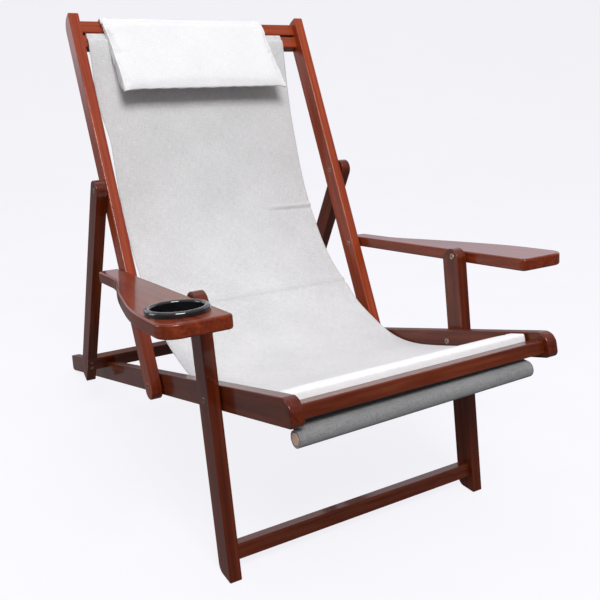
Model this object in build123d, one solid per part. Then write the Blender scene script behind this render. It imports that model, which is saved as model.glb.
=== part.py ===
from build123d import *
import math
import os

# Folding wooden beach chair with a canvas sling, in millimetres.
# +X is the sitter's left, -Y is the front, +Z is up. The origin is on the floor, at the middle of the box
# around the whole chair. Outlines are drawn in the side plane as (y, z) and extruded along X.

# Stock and layers. Three layers of boards stand side by side, with a washer's gap between them.
STOCK = 23.0
GAP = 1.0
RAIL_DEPTH = 45.0
BACK_DEPTH = 44.0
EDGE_RADIUS = 2.5
SEAT_LAYER_X = 243.0
BACK_LAYER_X = SEAT_LAYER_X + STOCK + GAP
OUTER_LAYER_X = BACK_LAYER_X + STOCK + GAP

# Pivots in the side plane, as (y, z). The arm's front pivot follows from the two link lengths.
BACK_PIVOT = (-113.0, 234.0)
LEG_PIVOT = (-411.0, 316.0)
ARM_REAR_PIVOT = (-19.0, 445.0)
PROP_PIVOT = (65.0, 612.5)
LEG_LINK = 170.2
ARM_LINK = 370.7

# Seat rails, measured from the back pivot along the rail and above its centre line.
SEAT_FRONT = 574.0
SEAT_REAR_Y = 670.0
SEAT_NOSE_TOP_RADIUS = 22.0
SEAT_NOSE_BOTTOM_RADIUS = 10.0
FRONT_BAR = (531.5, 563.5, -14.4, 8.6)
SLING_BAR = (484.0, 523.5, -5.0, 18.0)
SLING_BAR_RADIUS = 10.0
NOTCH_COUNT = 3
NOTCH_PITCH = 120.0
NOTCH_FIT = 0.3

# Back rails, measured from the top of the front edge: down the rail, then rearwards.
BACK_TOP = (225.4, 972.7)
BACK_TILT = 26.32
BACK_LENGTH = 842.0
BACK_TOP_RADIUS = 26.0
UPPER_BAR = (8.0, 36.0, 19.0, 43.5)
LOWER_BAR = (41.0, 69.0, 19.0, 43.5)

# Front legs, measured from the front of the foot: up the leg, then rearwards.
LEG_FOOT_Y = -486.0
LEG_TILT = 9.47
LEG_DEPTH = 45.0
LEG_LENGTH = 509.5
LEG_HEEL_RADIUS = 17.0
LEG_BAR = (32.5, 60.5, 10.0, 34.0)

# Prop, measured from its pivot: down the strut, then rearwards.
PROP_TILT = 27.2
PROP_DEPTH = 44.0
PROP_LENGTH = 564.0
PROP_HEEL_CHAMFER = 16.0
PROP_BAR_DEPTH = 16.0
PROP_BAR_TOP = 486.5
PROP_BAR_HEIGHT = 41.0

# Armrests: a board whose top slopes down to the rear, S-shaped along its outer edge.
ARM_THICKNESS = STOCK
ARM_REAR = (14.0, 454.6)
ARM_SLOPE = 5.43
ARM_LENGTH = 571.0
ARM_REAR_WIDTH = 44.0
ARM_FRONT_WIDTH = 113.0
ARM_FRONT_RADIUS = 32.0
ARM_INNER_FRONT_RADIUS = 10.0
ARM_INNER_REAR_RADIUS = 4.5
ARM_OUTER_REAR_RADIUS = 12.0
ARM_STRAIGHT = 90.0
ARM_WIDEST = 480.0
ARM_CURVE = [(200.0, 65.0), (347.0, 98.0)]
ARM_EDGE_RADIUS = 4.0
ARM_CLEARANCE = 0.5

# Cup holder, pressed into the armrest on the sitter's right.
CUP_ALONG = 494.0
CUP_ACROSS = 58.0
CUP_BORE_RADIUS = 40.5
CUP_WALL_RADIUS = 43.9
CUP_HOLE_RADIUS = 44.0
CUP_LIP_RADIUS = 50.0
CUP_LIP_HEIGHT = 9.5
CUP_FLOOR = 2.5

# Hardware.
HEAD_RADIUS = 6.0
HEAD_HEIGHT = 2.5
HEAD_POCKET = 2.2
SHANK_RADIUS = 3.0
SLEEVE_RADIUS = 4.5
SLEEVE_LENGTH = 28.0
SHANK_LENGTH = 38.0
INSERT_RADIUS = 5.0
INSERT_LENGTH = 16.0
SOCKET_WIDTH = 4.0
SOCKET_DEPTH = 1.6
RUNNING_FIT = 0.05
WASHER_RADIUS = 8.0
WASHER_THICKNESS = 0.9
SCREW_HEAD_RADIUS = 4.5
SCREW_SHANK_RADIUS = 2.0
SCREW_LENGTH = 34.0
DOWEL_RADIUS = 4.0
DOWEL_LENGTH = 36.0
DOWEL_PLACES = (0.28, 0.72)
SCREW_PLACES = (13.0, 32.0)
SCREW_HEAD_HEIGHT = 1.6
BEYOND = 300.0

# Sling: rods of wood in fabric sleeves at both ends, and a sheet between them.
ROD_RADIUS = 9.5
ROLL_RADIUS = 14.0
ROD_PROUD = 1.0
SLING_THICKNESS = 2.0
SLING_LEFT_X = -239.0
SLING_RIGHT_X = 231.0
SLING_SPLIT_Y = -113.0
SLING_REST = 14.0
SLING_STANDOFF = 2.2
FRONT_ROLL = (-654.0, 343.3)
FRONT_ROLL_X = (-251.0, 211.0)
FRONT_ROLL_RISE = 0.87
TOP_ROLL = (53.0, 60.5)
SLING_CURVE = [
    (207.5, 904.5),
    (186.0, 779.0),
    (151.0, 657.0),
    (112.0, 546.0),
    (62.0, 461.0),
    (7.0, 402.0),
    (-113.0, 317.0),
    (-221.0, 284.5),
    (-318.0, 287.0),
    (-454.0, 320.0),
    (-577.0, 381.0),
]

# Head pillow: hangs over the upper bar, thick at its lower edge, with a flap behind.
PILLOW_X = (-221.0, 179.0)
PILLOW_DROP = 190.0
PILLOW_BACK = 14.0
PILLOW_BULGE = 34.0
PILLOW_FLAP_DROP = 56.0
PILLOW_COVER = 2.5


def turned(tilt):
    """Unit vectors along and across a member that leans by the tilt angle from upright."""
    lean = math.radians(tilt)
    return (math.sin(lean), math.cos(lean)), (math.cos(lean), -math.sin(lean))


def meet(first, first_length, second, second_length):
    """The upper point at the given distances from two points of the side plane."""
    dy = second[0] - first[0]
    dz = second[1] - first[1]
    base = math.hypot(dy, dz)
    along = (first_length**2 - second_length**2 + base**2) / (2 * base)
    height = math.sqrt(first_length**2 - along**2)
    return (
        first[0] + (dy * along - dz * height) / base,
        first[1] + (dz * along + dy * height) / base,
    )


ARM_FRONT_PIVOT = meet(LEG_PIVOT, LEG_LINK, ARM_REAR_PIVOT, ARM_LINK)
SEAT_SLOPE = math.atan2(LEG_PIVOT[1] - BACK_PIVOT[1], BACK_PIVOT[0] - LEG_PIVOT[0])
BACK_UP, BACK_REAR = turned(BACK_TILT)
LEG_UP, LEG_REAR = turned(LEG_TILT)
PROP_UP, PROP_REAR = turned(-PROP_TILT)


def seat_point(along, height):
    """A point of the seat frame: forwards from the back pivot, and above the rail's centre line."""
    c = math.cos(SEAT_SLOPE)
    s = math.sin(SEAT_SLOPE)
    return BACK_PIVOT[0] - along * c + height * s, BACK_PIVOT[1] + along * s + height * c


def back_point(down, rearward):
    """A point of the back frame: down the rail from its top front corner, then rearwards."""
    return tuple(BACK_TOP[i] - down * BACK_UP[i] + rearward * BACK_REAR[i] for i in (0, 1))


def leg_point(up, rearward):
    """A point of a front leg: up the leg from the front of its foot, then rearwards."""
    foot = (LEG_FOOT_Y, 0.0)
    return tuple(foot[i] + up * LEG_UP[i] + rearward * LEG_REAR[i] for i in (0, 1))


def prop_point(down, rearward):
    """A point of the prop: down the strut from its pivot, then rearwards."""
    return tuple(PROP_PIVOT[i] - down * PROP_UP[i] + rearward * PROP_REAR[i] for i in (0, 1))


def outline(corners):
    """A flat face from corners given as (first, second, radius)."""
    face = make_face(Polyline(*[(a, b) for a, b, _ in corners], close=True))
    for a, b, radius in corners:
        if radius:
            corner = face.vertices().sort_by_distance((a, b, 0))[0]
            face = fillet(corner, radius)
    return face


def side_board(face, x_low, x_high):
    """A side-plane face extruded from one X to another."""
    return extrude(Plane.YZ.offset(x_low) * face, x_high - x_low)


def rounded_board(face, x_low, x_high, radius=EDGE_RADIUS):
    """An extruded side-plane face with all its edges eased."""
    board = side_board(face, x_low, x_high)
    return fillet(board.edges(), radius)


def bar_between(place, box, x_end, radius=EDGE_RADIUS):
    """A bar across the chair; box is (first low, first high, second low, second high) for place."""
    a_low, a_high, b_low, b_high = box
    corners = [place(a_low, b_low), place(a_high, b_low), place(a_high, b_high), place(a_low, b_high)]
    face = outline([(y, z, radius) for y, z in corners])
    return side_board(face, -x_end, x_end)


def rod_x(point, radius, x_low, x_high):
    """A round bar along X through a point of the side plane."""
    plane = Plane(origin=(x_low, point[0], point[1]), x_dir=(0, 1, 0), z_dir=(1, 0, 0))
    return extrude(plane * Circle(radius), x_high - x_low)


def both_sides(solid):
    """A solid on the +X side and its mirror image on the -X side."""
    return Compound([solid, mirror(solid, Plane.YZ)])


def bolt_hole(point, inner_x, outer_x, through_outer=True):
    """The material a sleeve bolt removes: shank and sleeve bores and a pocket for each head."""
    split = outer_x - SLEEVE_LENGTH
    hole = rod_x(point, SLEEVE_RADIUS + RUNNING_FIT, split - 1, outer_x + 1)
    hole += rod_x(point, SHANK_RADIUS + RUNNING_FIT, inner_x - 1, split)
    hole += rod_x(point, HEAD_RADIUS + RUNNING_FIT, inner_x - 1, inner_x + HEAD_POCKET)
    if through_outer:
        hole += rod_x(point, HEAD_RADIUS + RUNNING_FIT, outer_x - HEAD_POCKET, outer_x + 1)
    return hole


def socket_head(point, base_x, direction):
    """A flat round head with a hexagon socket; it stands from base_x towards direction."""
    top_x = base_x + direction * HEAD_HEIGHT
    head = rod_x(point, HEAD_RADIUS, min(base_x, top_x), max(base_x, top_x))
    rim = head.edges().filter_by(GeomType.CIRCLE).sort_by(Axis.X)[-1 if direction > 0 else 0]
    head = fillet(rim, 0.6)
    plane = Plane(origin=(top_x, point[0], point[1]), x_dir=(0, 1, 0), z_dir=(direction, 0, 0))
    socket = extrude(plane * RegularPolygon(SOCKET_WIDTH / 2, 6, major_radius=False), -SOCKET_DEPTH)
    return head - socket


def inner_bolt(point, inner_x):
    """The bolt of a pivot: head sunk in the inner face, shank towards the outside."""
    base = inner_x + HEAD_POCKET
    return socket_head(point, base, -1) + rod_x(point, SHANK_RADIUS, base, base + SHANK_LENGTH)


def sleeve_nut(point, outer_x):
    """The threaded sleeve of a pivot: head sunk in the outer face, bored for the bolt's shank."""
    base = outer_x - HEAD_POCKET
    barrel = rod_x(point, SLEEVE_RADIUS, outer_x - SLEEVE_LENGTH + RUNNING_FIT, base)
    bore = rod_x(point, SHANK_RADIUS + RUNNING_FIT, outer_x - SLEEVE_LENGTH - 1, base - 1)
    return socket_head(point, base, 1) + barrel - bore


def washer(point, layer_x, hole_radius):
    """A thin washer in the gap below layer_x."""
    low = layer_x - GAP + (GAP - WASHER_THICKNESS) / 2
    ring = rod_x(point, WASHER_RADIUS, low, low + WASHER_THICKNESS)
    return ring - rod_x(point, hole_radius, low - 1, low + 2)


def dowel_rows(place, box, joint_x):
    """Two dowels in each end of a bar, along X and centred on the joint face."""
    a_low, a_high, b_low, b_high = box
    middle = (b_low + b_high) / 2
    spots = [place(a_low + (a_high - a_low) * part, middle) for part in DOWEL_PLACES]
    half = DOWEL_LENGTH / 2
    return [rod_x(spot, DOWEL_RADIUS, joint_x - half, joint_x + half - 2) for spot in spots]


def drilled(board, tools):
    """A board with every tool solid removed."""
    for tool in tools:
        board -= tool
    return board


def dowel_holes(place, box, joint_x):
    """Holes that hold the dowels, slightly deeper and wider than them."""
    a_low, a_high, b_low, b_high = box
    middle = (b_low + b_high) / 2
    spots = [place(a_low + (a_high - a_low) * part, middle) for part in DOWEL_PLACES]
    half = DOWEL_LENGTH / 2 + 1
    return [rod_x(spot, DOWEL_RADIUS + RUNNING_FIT, joint_x - half, joint_x + half - 2) for spot in spots]


def notch(index):
    """The square notch for the prop's bar, cut along the strut's own directions."""
    step = index * NOTCH_PITCH
    slide = (step * math.cos(SEAT_SLOPE), -step * math.sin(SEAT_SLOPE))
    low = PROP_BAR_TOP + PROP_BAR_HEIGHT + NOTCH_FIT
    front = -PROP_DEPTH / 2 - NOTCH_FIT
    corners = [(low, front), (low, front + 60), (low - 60, front + 60), (low - 60, front)]
    points = [prop_point(*corner) for corner in corners]
    face = outline([(y + slide[0], z + slide[1], 0) for y, z in points])
    return side_board(face, SEAT_LAYER_X - 5, SEAT_LAYER_X + STOCK + 5)


def seat_rail():
    """One long seat rail: bullnose front, three notches, and a rear end cut to the floor."""
    half = RAIL_DEPTH / 2
    top_slope = math.tan(SEAT_SLOPE)
    rear_top_along = (BACK_PIVOT[0] - SEAT_REAR_Y + half * math.sin(SEAT_SLOPE)) / math.cos(SEAT_SLOPE)
    rear_top = seat_point(rear_top_along, half)
    bottom = seat_point(0, -half)
    floor_y = bottom[0] + bottom[1] / top_slope
    corners = [
        (*seat_point(SEAT_FRONT, half), SEAT_NOSE_TOP_RADIUS),
        (*seat_point(SEAT_FRONT, -half), SEAT_NOSE_BOTTOM_RADIUS),
        (floor_y, 0, 0),
        (SEAT_REAR_Y - 1.5, 0, 6.0),
        (rear_top[0], rear_top[1], 0),
    ]
    rail = rounded_board(outline(corners), SEAT_LAYER_X, SEAT_LAYER_X + STOCK)
    tools = [notch(index) for index in range(NOTCH_COUNT)]
    tools.append(bolt_hole(BACK_PIVOT, SEAT_LAYER_X, BACK_LAYER_X + STOCK))
    tools.append(bolt_hole(LEG_PIVOT, SEAT_LAYER_X, BACK_LAYER_X + STOCK))
    tools += dowel_holes(seat_point, FRONT_BAR, SEAT_LAYER_X)
    tools += dowel_holes(seat_point, SLING_BAR, SEAT_LAYER_X)
    return drilled(rail, tools)


def back_rail():
    """One back rail: rounded foot below the pivot, rounded rear corner at the top."""
    half = BACK_DEPTH / 2
    corners = [
        (*back_point(0, 0), 3.0),
        (*back_point(0, BACK_DEPTH), BACK_TOP_RADIUS),
        (*back_point(BACK_LENGTH, BACK_DEPTH), half - 0.2),
        (*back_point(BACK_LENGTH, 0), half - 0.2),
    ]
    rail = rounded_board(outline(corners), BACK_LAYER_X, BACK_LAYER_X + STOCK)
    outer = BACK_LAYER_X + STOCK
    tools = [
        bolt_hole(BACK_PIVOT, SEAT_LAYER_X, outer),
        bolt_hole(PROP_PIVOT, BACK_LAYER_X, OUTER_LAYER_X + STOCK),
        rod_x(ARM_REAR_PIVOT, SHANK_RADIUS + RUNNING_FIT, BACK_LAYER_X - 1, outer + 1),
        rod_x(ARM_REAR_PIVOT, HEAD_RADIUS + RUNNING_FIT, BACK_LAYER_X - 1, BACK_LAYER_X + HEAD_POCKET),
    ]
    for bar in (UPPER_BAR, LOWER_BAR):
        tools += dowel_holes(back_point, bar, BACK_LAYER_X)
    return drilled(rail, tools)


def front_leg():
    """One front leg: rounded top, flat foot with a rounded heel."""
    half = LEG_DEPTH / 2
    heel_y = LEG_FOOT_Y + LEG_DEPTH / LEG_REAR[0]
    corners = [
        (LEG_FOOT_Y, 0, 2.0),
        (heel_y, 0, LEG_HEEL_RADIUS),
        (*leg_point(LEG_LENGTH, LEG_DEPTH), half - 0.2),
        (*leg_point(LEG_LENGTH, 0), half - 0.2),
    ]
    leg = rounded_board(outline(corners), BACK_LAYER_X, BACK_LAYER_X + STOCK, 1.8)
    outer = BACK_LAYER_X + STOCK
    tools = [
        bolt_hole(LEG_PIVOT, SEAT_LAYER_X, outer),
        rod_x(ARM_FRONT_PIVOT, SHANK_RADIUS + RUNNING_FIT, BACK_LAYER_X - 1, outer + 1),
        rod_x(ARM_FRONT_PIVOT, HEAD_RADIUS + RUNNING_FIT, BACK_LAYER_X - 1, BACK_LAYER_X + HEAD_POCKET),
    ]
    tools += dowel_holes(leg_point, LEG_BAR, BACK_LAYER_X)
    return drilled(leg, tools)


def prop_bar():
    """The prop's crossbar, whose ends are let into the struts' front faces."""
    x_end = OUTER_LAYER_X + STOCK - 0.5
    box = (PROP_BAR_TOP, PROP_BAR_TOP + PROP_BAR_HEIGHT, -PROP_DEPTH / 2, -PROP_DEPTH / 2 + PROP_BAR_DEPTH)
    bar = bar_between(prop_point, box, x_end, 1.5)
    return drilled(bar, prop_screw_tools(RUNNING_FIT))


def prop_screws(x_side, fit=0.0):
    """Two countersunk screws that hold one end of the prop's crossbar."""
    screws = []
    for place in SCREW_PLACES:
        y, z = prop_point(PROP_BAR_TOP + place, -PROP_DEPTH / 2)
        face = Plane(origin=(x_side, y, z), x_dir=(1, 0, 0), z_dir=(0, -PROP_REAR[0], -PROP_REAR[1]))
        head = extrude(face * Circle(SCREW_HEAD_RADIUS + fit), -SCREW_HEAD_HEIGHT)
        shank = extrude(face * Circle(SCREW_SHANK_RADIUS + fit), -SCREW_LENGTH - fit)
        screw = head + shank
        if not fit:
            screw -= extrude(face * RegularPolygon(1.5, 6, major_radius=False), -1.0)
        screws.append(screw)
    return screws


def prop_screw_tools(fit):
    """Screw-shaped tools for both ends of the crossbar."""
    middle = OUTER_LAYER_X + STOCK / 2
    return prop_screws(middle, fit) + prop_screws(-middle, fit)


def prop_strut():
    """One strut of the prop: round top at the pivot, housing for the crossbar, cut-off heel."""
    half = PROP_DEPTH / 2
    corners = [
        (*prop_point(-half, -half), half - 0.2),
        (*prop_point(-half, half), half - 0.2),
        (*prop_point(PROP_LENGTH - PROP_HEEL_CHAMFER, half), 4.0),
        (*prop_point(PROP_LENGTH, half - PROP_HEEL_CHAMFER), 4.0),
        (*prop_point(PROP_LENGTH, -half), 2.0),
    ]
    strut = rounded_board(outline(corners), OUTER_LAYER_X, OUTER_LAYER_X + STOCK, 1.5)
    housing = (
        PROP_BAR_TOP - 0.1,
        PROP_BAR_TOP + PROP_BAR_HEIGHT + 0.1,
        -half - 5,
        -half + PROP_BAR_DEPTH + 0.1,
    )
    tools = [bar_between(prop_point, housing, OUTER_LAYER_X + STOCK + 5, 1.4)]
    tools.append(bolt_hole(PROP_PIVOT, BACK_LAYER_X, OUTER_LAYER_X + STOCK))
    tools += prop_screws(OUTER_LAYER_X + STOCK / 2, RUNNING_FIT)
    return drilled(strut, tools)


def arm_plane():
    """The top face of the -X armrest: origin at its inner rear corner, x forwards, y inwards."""
    lean = math.radians(ARM_SLOPE)
    return Plane(
        origin=(-OUTER_LAYER_X - ARM_CLEARANCE, *ARM_REAR),
        x_dir=(0, -math.cos(lean), math.sin(lean)),
        z_dir=(0, math.sin(lean), math.cos(lean)),
    )


def armrest():
    """The armrest on the -X side, before the cup holder's hole."""
    curve = Spline(
        (ARM_STRAIGHT, -ARM_REAR_WIDTH),
        *[(along, -across) for along, across in ARM_CURVE],
        (ARM_WIDEST, -ARM_FRONT_WIDTH),
        tangents=[(1, 0), (1, 0)],
    )
    rest = Polyline(
        (ARM_WIDEST, -ARM_FRONT_WIDTH),
        (ARM_LENGTH, -ARM_FRONT_WIDTH),
        (ARM_LENGTH, 0),
        (0, 0),
        (0, -ARM_REAR_WIDTH),
        (ARM_STRAIGHT, -ARM_REAR_WIDTH),
    )
    face = make_face([curve, *rest.edges()])
    rounds = [
        ((ARM_LENGTH, -ARM_FRONT_WIDTH), ARM_FRONT_RADIUS),
        ((ARM_LENGTH, 0), ARM_INNER_FRONT_RADIUS),
        ((0, 0), ARM_INNER_REAR_RADIUS),
        ((0, -ARM_REAR_WIDTH), ARM_OUTER_REAR_RADIUS),
    ]
    for (along, across), radius in rounds:
        corner = face.vertices().sort_by_distance((along, across, 0))[0]
        face = fillet(corner, radius)
    flat = arm_plane()
    board = extrude(flat * face, ARM_THICKNESS, dir=-flat.z_dir)
    board = fillet(board.edges(), ARM_EDGE_RADIUS)
    inner_x = -OUTER_LAYER_X - ARM_CLEARANCE
    tools = []
    for point in (ARM_REAR_PIVOT, ARM_FRONT_PIVOT):
        tools.append(rod_x(point, INSERT_RADIUS + RUNNING_FIT, inner_x - INSERT_LENGTH, inner_x + 2))
        tools.append(rod_x(point, SHANK_RADIUS + RUNNING_FIT, inner_x - SHANK_LENGTH, inner_x))
    return drilled(board, tools)


def cup_plane():
    """The armrest's top face at the middle of the cup holder."""
    flat = arm_plane()
    place = flat.origin + flat.x_dir * CUP_ALONG + Vector(-CUP_ACROSS, 0, 0)
    return Plane(origin=place, x_dir=(1, 0, 0), z_dir=flat.z_dir)


def cup_holder():
    """A round cup holder with a thick rolled lip, a wall and a thin floor."""
    depth = ARM_THICKNESS - 1.0
    wall = [
        (0, -depth, 0),
        (CUP_WALL_RADIUS, -depth, 2.0),
        (CUP_WALL_RADIUS, 0, 0),
        (CUP_LIP_RADIUS, 0, 1.0),
        (CUP_LIP_RADIUS, CUP_LIP_HEIGHT, 4.5),
        (CUP_BORE_RADIUS, CUP_LIP_HEIGHT, 4.0),
        (CUP_BORE_RADIUS, -depth + CUP_FLOOR, 0),
        (0, -depth + CUP_FLOOR, 0),
    ]
    section = Plane.XZ * outline(wall)
    return cup_plane().location * revolve(section, Axis.Z)


def insert_and_bolt(point, side):
    """A bolt with its head in the board's inner face, and the threaded insert that it turns into."""
    base = BACK_LAYER_X + HEAD_POCKET
    bolt = socket_head(point, base, -1) + rod_x(point, SHANK_RADIUS, base, base + SHANK_LENGTH)
    low = OUTER_LAYER_X + ARM_CLEARANCE
    insert = rod_x(point, INSERT_RADIUS, low, low + INSERT_LENGTH)
    insert -= rod_x(point, SHANK_RADIUS + RUNNING_FIT, low - 1, low + INSERT_LENGTH + 1)
    if side < 0:
        return mirror(bolt, Plane.YZ), mirror(insert, Plane.YZ)
    return bolt, insert


def strip(points, thickness):
    """A thin side-plane face below a smooth curve through the points."""
    lower = []
    for index, (y, z) in enumerate(points):
        before = points[max(index - 1, 0)]
        after = points[min(index + 1, len(points) - 1)]
        dy = after[0] - before[0]
        dz = after[1] - before[1]
        length = math.hypot(dy, dz)
        lower.append((y - dz / length * thickness, z + dy / length * thickness))
    top = Spline(*points)
    under = Spline(*lower)
    return make_face([top, Line(points[-1], lower[-1]), under, Line(lower[0], points[0])])


def thick_path(points, thickness):
    """A thin side-plane face along a path of straight runs."""
    face = None
    half = thickness / 2
    for start, end in zip(points, points[1:]):
        dy = end[0] - start[0]
        dz = end[1] - start[1]
        length = math.hypot(dy, dz)
        uy = dy / length * half
        uz = dz / length * half
        run = make_face(
            Polyline(
                (start[0] - uy - uz, start[1] - uz + uy),
                (end[0] + uy - uz, end[1] + uz + uy),
                (end[0] + uy + uz, end[1] + uz - uy),
                (start[0] - uy + uz, start[1] - uz - uy),
                close=True,
            )
        )
        face = run if face is None else face + run
    return face


def sleeve(point, x_low, x_high):
    """The fabric wound round a rod."""
    tube = rod_x(point, ROLL_RADIUS, x_low, x_high)
    return tube - rod_x(point, ROD_RADIUS + RUNNING_FIT, x_low - 1, x_high + 1)


def back_sling():
    """The sling above the back pivot: lower sheet, run over the lower bar, and the top sleeve."""
    split = [point for point in SLING_CURVE if point[0] > SLING_SPLIT_Y]
    split.append((SLING_SPLIT_Y + 1.0, SLING_CURVE[6][1] + 0.6))
    sheet = side_board(strip(split, SLING_THICKNESS), SLING_LEFT_X, SLING_RIGHT_X)
    gap = (UPPER_BAR[1] + LOWER_BAR[0]) / 2
    front = UPPER_BAR[2] - 2.0
    path = [
        (split[0][0] + 0.7, split[0][1] - 1.0),
        back_point(gap, front),
        back_point(gap, UPPER_BAR[3] + 6.0),
        back_point(TOP_ROLL[0] - ROLL_RADIUS + 1.2, TOP_ROLL[1]),
    ]
    run = side_board(thick_path(path, SLING_THICKNESS), SLING_LEFT_X, SLING_RIGHT_X)
    roll = back_point(*TOP_ROLL)
    whole = sheet + run + sleeve(roll, SLING_LEFT_X, SLING_RIGHT_X)
    return whole - rod_x(roll, ROD_RADIUS + RUNNING_FIT, -BEYOND, BEYOND)


def risen(shape):
    """The front roll's slight rise towards the sitter's left, turned about the middle of the chair."""
    return shape.rotate(Axis((0, *FRONT_ROLL), (0, 1, 0)), -FRONT_ROLL_RISE)


def seat_sling():
    """The sling below the back pivot: seat sheet, run down the slot, and the front sleeve."""
    split = [(SLING_SPLIT_Y - 1.0, SLING_CURVE[6][1] - 0.6)]
    split += [point for point in SLING_CURVE if point[0] < SLING_SPLIT_Y]
    sheet = side_board(strip(split, SLING_THICKNESS), SLING_LEFT_X, SLING_RIGHT_X)
    slot = (SLING_BAR[1] + FRONT_BAR[0]) / 2
    last = SLING_CURVE[-1]
    path = [
        (last[0], last[1] - 1.0),
        seat_point(SLING_BAR[0] + SLING_REST, SLING_BAR[3] + SLING_STANDOFF),
        seat_point(slot, SLING_BAR[3] + SLING_STANDOFF),
        seat_point(slot, FRONT_BAR[2] - 3.0),
        (FRONT_ROLL[0] + ROLL_RADIUS - 1.0, FRONT_ROLL[1] + 2.0),
    ]
    run = side_board(thick_path(path, SLING_THICKNESS), SLING_LEFT_X, SLING_RIGHT_X)
    bore = risen(rod_x(FRONT_ROLL, ROD_RADIUS + RUNNING_FIT, -BEYOND, BEYOND))
    return sheet + run + risen(sleeve(FRONT_ROLL, *FRONT_ROLL_X)) - bore


def sling_rod(point, x_low, x_high):
    """A wooden rod whose ends show in the sleeve."""
    return rod_x(point, ROD_RADIUS, x_low - ROD_PROUD, x_high + ROD_PROUD)


def head_pillow():
    """A pillow that hangs over the upper bar, in front of the sling, with a flap behind the roll."""
    cover = PILLOW_COVER
    over = UPPER_BAR[0] - 1.0
    inside = UPPER_BAR[2] - 7.0
    behind = TOP_ROLL[1] + ROLL_RADIUS + 1.5
    flap_end = back_point(TOP_ROLL[0] + PILLOW_FLAP_DROP, behind - 4.0)
    corners = [
        (*back_point(PILLOW_DROP, PILLOW_BACK - PILLOW_BULGE), 12.0),
        (*back_point(PILLOW_DROP, PILLOW_BACK), 12.0),
        (*back_point(110.0, inside + 5.0), 0),
        (*back_point(74.0, inside), 0),
        (*back_point(over, inside), 0),
        (*back_point(over, UPPER_BAR[3] + 1.0), 0),
        (*back_point(UPPER_BAR[1] - 2.0, behind), 0),
        (*flap_end, 0),
        (flap_end[0] + cover, flap_end[1], 0),
        (*back_point(UPPER_BAR[1] - 4.0, behind + cover), 0),
        (*back_point(over - cover, UPPER_BAR[3] + 2.0), 0),
        (*back_point(over - cover, inside - cover), 2.0),
    ]
    return side_board(outline(corners), *PILLOW_X)


def both_tools(solids):
    """A list of solids on the +X side, and their mirror images."""
    return solids + [mirror(solid, Plane.YZ) for solid in solids]


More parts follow.
